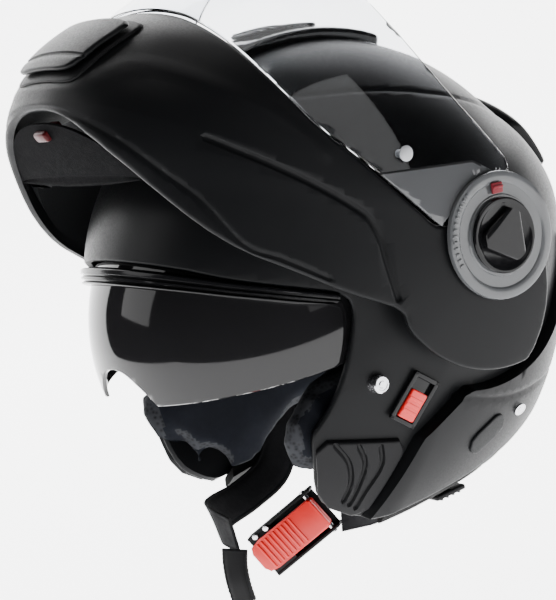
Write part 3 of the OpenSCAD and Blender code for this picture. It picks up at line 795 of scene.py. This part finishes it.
def curtain():
    """Wind curtain: padded cloth, short enough to clear the lowered sun visor."""
    rows, cols, half = 22, 60, 0.75
    level = -108.9
    ys = np.linspace(-215, -90, 700)
    wide = CHIN.half_width(ys, ys * 0 - 108.5, -5.2)
    pts = []
    for x in np.linspace(-75, 75, cols + 1):
        rim = ys[np.argmax(wide > abs(x))]
        free = np.interp(abs(x), [0, 12, 36, 57, 82], [-130.8, -130.8, -131.3, -132.2, -133.4])
        free = max(free, rim + 1.5)
        for j in range(rows + 1):
            t = j / rows
            y = rim + (free - rim) * t
            z = level - 2.2 * math.sin(1.9 * t) * (1 - (x / 80) ** 2)
            hem = 0.7 if t > 0.93 else 0.0
            seam = -0.6 if 0.855 < t < 0.885 or 0.235 < t < 0.262 else 0.0
            pts += [(x, y, z + half + hem + seam), (x, y, z - half - hem - seam)]

    def index(i, j, low):
        return 2 * (i * (rows + 1) + j) + low

    faces = []
    for i in range(cols):
        for j in range(rows):
            around = (i, j), (i + 1, j), (i + 1, j + 1), (i, j + 1)
            faces.append(tuple(index(*q, 0) for q in around))
            faces.append(tuple(index(*q, 1) for q in reversed(around)))
    edges = [((i, j), (i + 1, j)) for i in range(cols) for j in (0, rows)]
    edges += [((i, j), (i, j + 1)) for j in range(rows) for i in (0, cols)]
    faces += [(index(*a, 0), index(*b, 0), index(*b, 1), index(*a, 1)) for a, b in edges]
    obj = make_mesh("wind_curtain", pts, faces)
    tilt(obj, -OPEN)
    fix_normals(obj, 60)
    give(obj, curtain_cloth)
    return done(obj, None, "chin_bar", "lining", "chin_curtain")


curtain()

VENT_BASE = [[-BIG, -96], [-150, -96], [-150, -44], [-BIG, -44]]
vent_base = patch("chin_vent_frame", CHIN, [polygon_distance(VENT_BASE), plan_field(
    soften([[-43, -44], [43, -44], [34, -94], [-34, -94]], 2), (0, 2))], 2.0, 0.2, 1.2,
    a=(-60, 10), p=(50, 130), da=1.2, dp=1.2, raised=True)
done(vent_base, [matt_plastic], "chin_bar", "matt_black", "chin_vent_base")
vent_cover = patch("chin_vent_flap", CHIN, [plan_field(
    soften([[-40, -47.5], [40, -47.5], [30, -88.5], [-30, -88.5]], 2), (0, 2)),
    polygon_distance([[-BIG, -100], [-120, -100], [-120, -40], [-BIG, -40]])], 6.4, 4.0, 1.8,
    a=(-60, 10), p=(50, 130), da=1.0, dp=1.0, raised=True,
    grooves=[(np.array([[-230, -78], [-120, -78]]), 0.9, 1.6)])
done(vent_cover, [shell_paint], "chin_vent_cover", "matt_black", "chin_vent_cover")

button = solid("chin_release_push", [
    rounded_box((-6.5, -166.3, -113.2), (6.5, -160.5, -103.3), 1.6),
    rounded_box((-5, -165, -104), (5, -161, -100.4), 0.8)], raised=True)
done(button, [dark_red], "chin_release_button", "red", "chin_release_button")

# ---------------------------------------------------------------- pivots and visor rings
RING = [(134.6, 18.3), (137.0, 18.3), (137.4, 18.8), (137.4, 20.6), (136.6, 21.2), (136.6, 26.5),
        (137.2, 27.1), (137.5, 27.8), (137.5, 31.8), (137.1, 32.6), (136.2, 32.9), (134.6, 32.9)]
CAP = [(138.1, 0.0), (138.1, 18.6), (138.5, 19.3), (139.4, 19.45), (140.1, 19.0), (140.3, 18.0),
       (139.7, 16.6), (139.3, 15.6), (139.2, 8.0), (139.2, 0.0)]


def three_sided(r, soft):
    """A rounded three-sided outline for the cap's grip."""
    out = []
    for k in range(3):
        for b in np.linspace(-soft, soft, 7):
            t = math.radians(120 * k + b)
            out.append((r * math.cos(t), r * math.sin(t)))
    return out


facing_x = Matrix(((0, 0, 1, 0), (0, 1, 0, 0), (-1, 0, 0, 0), (0, 0, 0, 1)))
for side, mirrored in SIDES:
    ring = lathe(f"visor_ring_{side}_plate", RING, sides=96, raised=True, mirror=mirrored)
    done(ring, [ring_plastic], "visor", "clear", f"visor_ring_{side}")
    disc = lathe(f"pivot_cap_{side}_disc", CAP, sides=72, raised=True, mirror=mirrored)
    grip = solid(f"pivot_cap_{side}_grip",
                 [extruded(three_sided(14.2, 16), 0, 3.4, 1.2, 3)],
                 Matrix.Translation((139.1, 0, 0)) @ facing_x @ turned(0, 0, -30), raised=True,
                 mirror=mirrored)
    for piece in (disc, grip):
        done(piece, [gloss_black], "chin_bar", "gloss_black", f"pivot_cap_{side}")
    catch = solid(f"visor_lock_{side}_catch",
                  [rounded_box((137.6, -27.3, -3.4), (139.2, -21.7, 3.4), 0.6),
                   rounded_box((139.0, -25.8, -3.2), (140.0, -24.2, 3.2), 0.5)],
                  turned(-30.6, 0, 0), raised=True, mirror=mirrored)
    done(catch, [catch_red], f"visor_lock_{side}", "red", f"visor_lock_{side}")
    # small detent teeth on the face of the ring, along its front edge
    teeth = []
    for k in range(13):
        t = math.radians(188 + 6 * k)
        box = rounded_box((136.2, 28.7, -0.8), (138.1, 31.2, 0.8), 0.35, 2)
        bmesh.ops.transform(box, matrix=Matrix.Rotation(t, 4, "X"), verts=box.verts)
        teeth.append(box)
    rack = solid(f"detent_teeth_{side}", teeth, raised=True, mirror=mirrored)
    done(rack, [ring_plastic], "visor", "clear")
    pin = lathe(f"latch_pin_{side}_stud", [(99, 0), (99, 4.7), (110.2, 4.7), (111.0, 3.9),
                (111.0, 3.2), (110.6, 2.9), (110.6, 2.1), (111.3, 1.6), (111.4, 0)],
                LATCH_AT, 48, mirror=mirrored)
    done(pin, [steel], "shell", "steel", f"latch_pin_{side}")

for side, mirrored in SIDES:
    pin = lathe(f"insert_pin_{side}", [(123.6, 0), (123.6, 2.2), (130.15, 2.2), (130.15, 3.9),
                (130.9, 4.0), (131.5, 3.4), (131.8, 2.0), (131.8, 0)], (-67, -15), 40,
                raised=True, mirror=mirrored)
    done(pin, [clear_grey], "visor", "clear", "insert_pins")

# ---------------------------------------------------------------- shell trim
TRIM_EDGE = [[-160, 32], [-127, 14.5], [-103, 3.5], [-82, -5.5], [-82, -11], [-103, -4],
             [-127, 6.5], [-160, 22]]


def brow_inside(uv):
    """Held ahead of the sun visor's sweep."""
    return SHELL.point(uv, -2.0)


brow = patch("brow_trim_band", SHELL, [polygon_distance(TRIM_EDGE)], 2.0, brow_inside, 0.9,
             a=(-30, 40), da=1.0, dp=2.0,
             grooves=[(np.array([[-165, 30], [-127, 11.5], [-103, 1], [-76, -10.5]]), 1.2, 1.0),
                      (np.array([[-165, 26.5], [-127, 8.8], [-103, -1.6], [-76, -12.5]]),
                       1.6, 0.9)])
done(brow, [gloss_black], "shell", "matt_black", "brow_trim")

RIM_EDGE = [[-86, -131.4], [-59, -130.4], [-16, -127.4], [10, -123.4], [40, -113.4],
            [75, -103.4], [160, -95.4], [160, -100], [75, -108], [40, -118], [10, -128],
            [-16, -132], [-59, -135], [-84, -136]]
RIM = Surface(SHELL_R, 121, 2.2)
rim = patch("neck_rim_trim", RIM, [polygon_distance(RIM_EDGE)], 1.0, -8.6, 1.8,
            a=(180, 300), da=1.5)
done(rim, [rubber], "shell", "rubber", "rim_trim")

crown = patch("crown_vent_scoop", SHELL, [plan_field(soften(
    [[-34, 30], [34, 30], [22, -52], [-22, -52]], 2)),
    polygon_distance([[-60, 60], [40, 60], [40, 180], [-60, 180]])], 6.0, 0.2, 2.6,
    a=(50, 120), p=(55, 125), da=1.2, dp=1.2)
done(crown, [gloss_black], "shell", "matt_black", "crown_vent_base")
ridges = [(np.array([[y, 60], [y, 180]]), -0.7, 1.3) for y in (-32, -26, -20)]
slider = patch("crown_vent_slide", SHELL, [plan_field(soften(
    [[-14, -38], [14, -38], [14, 5.8], [-14, 5.8]], 2)),
    polygon_distance([[-60, 60], [40, 60], [40, 180], [-60, 180]])], 8.4, 6.45, 1.2,
    a=(60, 110), p=(72, 108), da=1.0, dp=1.0, grooves=ridges)
done(slider, [matt_plastic], "crown_vent_slider", "matt_black", "crown_vent_slider")

spoiler = patch("rear_spoiler_wing", SHELL, [plan_field(soften(
    [[-58, 60], [58, 60], [50, 124], [-50, 124]], 2)),
    polygon_distance([[74, 62], [78, 130], [BIG, 60], [BIG, 8], [96, 8]])], 6.8, 0.3, 4.0,
    a=(110, 200), p=(30, 150), da=1.6, dp=1.6,
    grooves=[(np.array([[84, 66], [118, 12]]), 1.2, 2.0)])
done(spoiler, [shell_paint], "shell", "matt_black", "rear_spoiler")

JAW_EDGE = [[-108.4, -76.2], [-61.3, -90.7], [-87.1, -127.6], [-108.4, -111.4]]
jaw_ribs = [(smooth_line([[-99 + 11 * k, -80.5 - 4 * k], [-93.5 + 8 * k, -92 - 3.5 * k],
                          [-93 + 3.5 * k, -104 - 3.5 * k], [-96.5 + 3 * k, -113 - 3 * k]], 5),
             1.5, 1.5) for k in range(3)]
for side, mirrored in SIDES:
    cover = patch(f"jaw_cover_{side}_ribbed", SHELL, [polygon_distance(soften(JAW_EDGE, 1))],
                  3.0, 0.3, 1.0, a=(-60, -20), p=(20, 80), da=1.0, dp=1.0, grooves=jaw_ribs,
                  mirror=mirrored,
                  mat_of=lambda c: (np.where(c[:, 1] < -103.4, 1, 0), np.zeros(len(c), int)))
    done(cover, [matt_plastic, dark_grey], "shell", "matt_black", f"jaw_cover_{side}")
    turn = math.radians(22.6)
    oblong = [(-14 + e * math.cos(turn) + 6 * math.cos(t), -105 + e * math.sin(turn)
               + 6 * math.sin(t)) for e, t0 in ((7, turn - math.pi / 2), (-7, turn + math.pi / 2))
              for t in np.linspace(t0, t0 + math.pi, 12)]
    badge = patch(f"side_plate_{side}", Surface(SHELL_R, 125, 2.2), [polygon_distance(oblong)],
                  2.8, 1.8, 0.7, a=(240, 300), p=(1, 60), da=1.5, dp=1.5, mirror=mirrored)
    done(badge, [dark_grey], "shell", "matt_black", "side_badge_blanks")
    at = Matrix.Translation((102.3, 11, -101.4)) @ turned(0, 121.6, 0)
    hexagon = [(1.9 * math.cos(TAU * k / 6), 1.9 * math.sin(TAU * k / 6)) for k in range(6)]
    circle = [(3.6 * math.cos(TAU * k / 40), 3.6 * math.sin(TAU * k / 40)) for k in range(40)]
    screw = solid(f"rear_screw_{side}", [extruded(circle, 0, 1.1, 0.4), (extruded(
        hexagon, 0.9, 1.25, 0.1), 1)], at, mirror=mirrored)
    done(screw, [steel, matt_plastic], "shell", "steel", "rear_screws")

# ---------------------------------------------------------------- sliding lock on the left jaw
LOCK = Matrix.Translation((107.2, -57, -70.5)) @ turned(105.6, -45.3, 68.6)
frame_bars = [rounded_box((-14, -8.5, 1.1), (14, -5.5, 3.0), 0.7),
              rounded_box((-14, 5.5, 1.1), (14, 8.5, 3.0), 0.7),
              rounded_box((-14, -8.5, 1.1), (-11.4, 8.5, 3.0), 0.7),
              rounded_box((11.4, -8.5, 1.1), (14, 8.5, 3.0), 0.7),
              rounded_box((-11.6, -5.7, 0.4), (11.6, 5.7, 1.0), 0.1)]
bezel = solid("lock_recess", frame_bars, LOCK)
done(bezel, [gloss_black], "shell", "gloss_black", "lock_slide_bezel")
lock = solid("lock_slide_button", [rounded_box((-11, -5.1, 1.3), (5, 5.1, 4.0), 0.9)]
             + [rounded_box((x, -4.6, 3.6), (x + 1.8, 4.6, 4.25), 0.5) for x in (-7.5, -4, -0.5)],
             LOCK)
done(lock, [red_plastic], "lock_slide", "red", "lock_slide")

# ---------------------------------------------------------------- chin strap and buckle
BUCKLE = Matrix.Translation((24, -99, -141)) @ turned(-87, 29, -135)
body = solid("buckle_frame", [
    rounded_box((-22, -13.5, -9), (24, 13.5, -7.2), 0.8),
    rounded_box((-23, -13.5, -9), (24, -11.5, -0.5), 0.9),
    rounded_box((-23, 11.5, -9), (24, 13.5, -0.5), 0.9),
    rounded_box((8, -13.0, -3.4), (24, 13.0, -1.1), 0.7)], BUCKLE)
done(body, [matt_plastic], "shell", "matt_black", "buckle_body")
tab_outline = [(-20.5, -8), (-19, -9.5), (18, -9.5), (24, -8.5), (26, -5), (26, 5), (24, 8.5),
               (18, 9.5), (-19, 9.5), (-20.5, 8)]
tab = solid("buckle_release_tab", [extruded(tab_outline, -0.6, 2.5, 0.8, 3),
            rounded_box((-20.3, -9.4, -5.6), (-14.9, 9.4, 0), 1.8)]
            + [rounded_box((-5 + 3 * k, -8.2, 2.2), (-3.6 + 3 * k, 8.2, 3.2), 0.45, 2)
               for k in range(9)], BUCKLE)
done(tab, [red_plastic], "buckle_tab", "red", "buckle_tab")
rivets = solid("buckle_rivets", [extruded([(x + 1.8 * math.cos(t), -11.7 + 1.8 * math.sin(t))
               for t in np.linspace(0, TAU, 24, endpoint=False)], -0.35, 0.75, 0.5, 3)
               for x in (10.5, 18.5)], BUCKLE)
done(rivets, [steel], "shell", "steel", "strap_rivets")


def strap(name, route, across, width, thick, ribs=0.0):
    """A woven band through the route, with rounded edges and a stitched line near each."""
    c, w = smooth_line(route, 8), smooth_line(across, 8)
    u = [-0.5, -0.485, -0.43, -0.40, -0.37, -0.2, 0, 0.2, 0.37, 0.40, 0.43, 0.485, 0.5]
    h = [0.25, 0.8, 1.0, 0.72, 1.0, 1.0, 1.0, 1.0, 1.0, 0.72, 1.0, 0.8, 0.25]
    ring = [(a, b) for a, b in zip(u, h)] + [(a, -b) for a, b in zip(reversed(u), reversed(h))]
    pts, n = [], len(ring)
    for i in range(len(c)):
        t = c[min(i + 1, len(c) - 1)] - c[max(i - 1, 0)]
        t = t / np.linalg.norm(t)
        a = w[i] - t * np.dot(w[i], t)
        a = a / np.linalg.norm(a)
        b = np.cross(t, a)
        lift = 1 + (ribs if i % 2 else 0)
        pts += [c[i] + a * width * q + b * thick / 2 * k * lift for q, k in ring]
    faces = [(i * n + j, i * n + (j + 1) % n, (i + 1) * n + (j + 1) % n, (i + 1) * n + j)
             for i in range(len(c) - 1) for j in range(n)]
    faces += [tuple(range(n)), tuple((len(c) - 1) * n + j for j in reversed(range(n)))]
    obj = make_mesh(name, pts, faces)
    fix_normals(obj, 60)
    return obj


left = strap("chin_strap_left", [[94.2, -20, -90], [90.5, -24, -104], [79, -34, -120],
             [66.5, -50, -134], [54, -66, -137], [42.6, -77.4, -134.6]],
             [[0, 1, 0], [0, 1, 0], [-0.2, 1, -0.4], [-0.3, 1, -0.4], [0.1, 0.8, -0.7],
              [0.4, 0.3, -0.9]], 22, 2)
right = strap("chin_strap_right", [[-94.2, -20, -90], [-90.5, -24, -104], [-79, -34, -120],
              [-67, -52, -133.4], [-58, -78, -138], [-46, -104, -137], [-26, -118, -136],
              [-6, -119, -139]],
              [[0, 1, 0], [0, 1, 0], [0.2, 1, -0.4], [0.3, 1, -0.4], [0.3, 0.8, -0.5],
               [0.2, 0.5, -0.8], [0, 0.1, -1], [0.2, 0.1, -1]], 22, 2)
for piece, node in ((left, "strap_left"), (right, "strap_right")):
    done(piece, [webbing], "shell", "webbing", node)
ladder = strap("ladder_strap_toothed", [[-3.4, -122.4, -145.5], [-3.6, -124.5, -154],
               [-2.5, -126, -164], [-1.5, -126, -175]],
               [[0.75, 0.6, 0], [0.8, 0.5, 0], [0.85, 0.5, 0], [0.85, 0.5, 0]], 15, 2.2, 0.5)
done(ladder, [matt_plastic], "shell", "matt_black", "ladder_strap")
sun_slider = solid("sun_visor_lever", [rounded_box((72, -40, -138.2), (81, -20, -135.3), 1.0),
                   rounded_box((74.5, -32, -136), (77.5, -28, -129.4), 0.6)]
                   + [rounded_box((72.6, y, -139.0), (80.4, y + 1.4, -137.6), 0.5)
                      for y in (-37, -33, -29, -25)])
done(sun_slider, [matt_plastic], "sun_visor_slider", "matt_black", "sun_visor_slider")


# ---------------------------------------------------------------- padding
def baked(obj):
    """The object's evaluated mesh, with its modifiers cleared."""
    dg = bpy.context.evaluated_depsgraph_get()
    mesh = bpy.data.meshes.new_from_object(obj.evaluated_get(dg))
    obj.modifiers.clear()
    old, obj.data = obj.data, mesh
    bpy.data.meshes.remove(old)


FRAMES = 20      # of cloth simulation, enough for the pads to swell


def cushion(name, node, body, slot, shrink, cap, mats, mat_of, voxel=4.5, pressure=4.0):
    """Swells a copy of a plain CAD pad by cloth simulation, moving no point more than cap."""
    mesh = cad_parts[node].data.copy()
    obj = bpy.data.objects.new(name, mesh)
    bpy.context.scene.collection.objects.link(obj)
    mod = obj.modifiers.new("remesh", "REMESH")
    mod.mode, mod.voxel_size = "VOXEL", voxel * MM
    baked(obj)
    smooth = obj.modifiers.new("smooth", "SMOOTH")
    smooth.factor, smooth.iterations = 0.5, 10
    baked(obj)
    normals = np.zeros(len(obj.data.vertices) * 3)
    rest = np.zeros(len(obj.data.vertices) * 3)
    obj.data.vertices.foreach_get("normal", normals)
    obj.data.vertices.foreach_get("co", rest)
    rest = rest - normals * shrink * MM
    obj.data.vertices.foreach_set("co", rest)
    rest = rest.reshape(-1, 3)
    cloth = obj.modifiers.new("cloth", "CLOTH")
    cloth.settings.use_pressure = True
    cloth.settings.uniform_pressure_force = pressure
    cloth.settings.quality = 5
    cloth.settings.effector_weights.gravity = 0
    cloth.point_cache.frame_start, cloth.point_cache.frame_end = 1, FRAMES
    scene = bpy.context.scene
    for f in range(1, FRAMES + 1):
        scene.frame_set(f)
    baked(obj)
    scene.frame_set(1)
    moved = np.zeros(len(obj.data.vertices) * 3)
    obj.data.vertices.foreach_get("co", moved)
    delta = moved.reshape(-1, 3) - rest
    far = np.linalg.norm(delta, axis=1, keepdims=True)
    delta = delta * np.minimum(1, cap * MM / np.maximum(far, 1e-9))
    obj.data.vertices.foreach_set("co", (rest + delta).ravel())
    soft = obj.modifiers.new("subdivide", "SUBSURF")
    soft.levels = soft.render_levels = 1
    baked(obj)
    give(obj, *mats)
    n = len(obj.data.polygons)
    centre, normal = np.zeros(n * 3), np.zeros(n * 3)
    obj.data.polygons.foreach_get("center", centre)
    obj.data.polygons.foreach_get("normal", normal)
    index = mat_of(centre.reshape(-1, 3) / MM, normal.reshape(-1, 3))
    obj.data.polygons.foreach_set("material_index", index.astype(np.int32))
    obj.data.shade_smooth()
    return done(obj, None, body, slot, node)


for side, mirrored in SIDES:
    cushion(f"cheek_pad_{side}_cushion", f"cheek_pad_{side}", "shell", "mesh_fabric", 2.2, 5,
            (mesh_cloth, lining_cloth),
            lambda c, n: np.where((np.abs(n[:, 0]) > 0.75) & (c[:, 1] > -112), 1, 0))
cushion("neck_roll_cushion", "neck_roll", "shell", "lining", 2.0, 5,
        (lining_cloth, mesh_cloth), lambda c, n: np.where(n[:, 2] < -0.75, 1, 0))
cushion("head_lining_padding", "head_lining", "shell", "lining", 1.2, 4,
        (lining_cloth, mesh_cloth), lambda c, n: np.zeros(len(c)))

# ---------------------------------------------------------------- CAD pieces that stay
FINISH = {"impact_foam": foam, "pivot_base": matt_plastic, "chin_hub": matt_plastic,
          "sun_visor_studs": steel, "strap_anchors": steel, "buckle_pin": steel,
          "latch_hook": steel, "hook_pins": steel}
for node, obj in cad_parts.items():
    for start, mat in FINISH.items():
        if node.startswith(start):
            give(obj, mat)

# ---------------------------------------------------------------- stage, light and camera
NOSE_DOWN = 17.0       # degrees, in the photographed attitude
CAMERA_AWAY = 1.1025   # metres from the point it looks at
FOCAL = 125.7734       # millimetres, on a sensor 36 wide


def photo_turn(v):
    """From the photographed attitude to the level one."""
    c, s = math.cos(math.radians(NOSE_DOWN)), math.sin(math.radians(NOSE_DOWN))
    return Vector((v[0], v[1] * c + v[2] * s, -v[1] * s + v[2] * c))


az, el = math.radians(58), math.radians(2.8)
toward = Vector((math.sin(az) * math.cos(el), -math.cos(az) * math.cos(el), math.sin(el)))
right = Vector((math.cos(az), math.sin(az), 0))
up = toward.cross(right)
place = Vector((-20.15, -35.81, -38.59)) * MM + toward * CAMERA_AWAY
cam_data = bpy.data.cameras.new("camera")
cam_data.sensor_fit = "HORIZONTAL"
cam_data.sensor_width = 36
cam_data.lens = FOCAL
camera = bpy.data.objects.new("camera", cam_data)
bpy.context.scene.collection.objects.link(camera)
r, u, d = photo_turn(right), photo_turn(up), photo_turn(toward)
rot = Matrix((r, u, d)).transposed().to_4x4()
camera.matrix_world = Matrix.Translation(photo_turn(place)) @ rot
bpy.context.scene.camera = camera

# A pale sweep, in metres, bent up far behind the object; it glows to give a white background
FLOOR, BEND_AT, BEND = -0.26, 1.1, 0.9
profile = [(-1.6, FLOOR)]
profile += [(BEND_AT + BEND * math.sin(t), FLOOR + BEND * (1 - math.cos(t)))
            for t in np.linspace(0, math.pi / 2, 14)]
profile += [(BEND_AT + BEND, 3.2)]
pts, faces = [], []
across = np.linspace(-3.0, 3.0, 9)
ang = math.atan2(-d.y, -d.x)
for q in across:
    for t, z in profile:
        pts.append((1000 * (t * math.cos(ang) - q * math.sin(ang)),
                    1000 * (t * math.sin(ang) + q * math.cos(ang)), 1000 * z))
m = len(profile)
faces = [(j * m + i, j * m + i + 1, (j + 1) * m + i + 1, (j + 1) * m + i)
         for j in range(len(across) - 1) for i in range(m - 1)]
sweep = make_mesh("pale_sweep", pts, faces)
give(sweep, material("pale_paper", (0.80, 0.80, 0.81), 0.85, tone=0.01, grain=0.02,
                     glow=4.8))


def softbox(name, at, target, size, watts):
    light = bpy.data.lights.new(name, "AREA")
    light.shape = "RECTANGLE"
    light.size, light.size_y = size
    light.energy = watts
    o = bpy.data.objects.new(name, light)
    o.location = at
    o.rotation_euler = (Vector(target) - Vector(at)).to_track_quat("-Z", "Y").to_euler()
    bpy.context.scene.collection.objects.link(o)


softbox("key", (-0.9, -1.5, 0.9), (0, 0, 0), (0.9, 1.1), 9)
softbox("fill", (1.9, 0.2, 0.9), (0, 0, 0), (1.0, 1.4), 6)
softbox("top", (0.1, 0.0, 1.9), (0, 0, 0), (1.4, 1.0), 9)
world = bpy.data.worlds.new("studio")
world.use_nodes = True
world.node_tree.nodes["Background"].inputs["Color"].default_value = (1, 1, 1, 1)
world.node_tree.nodes["Background"].inputs["Strength"].default_value = 0.03
bpy.context.scene.world = world
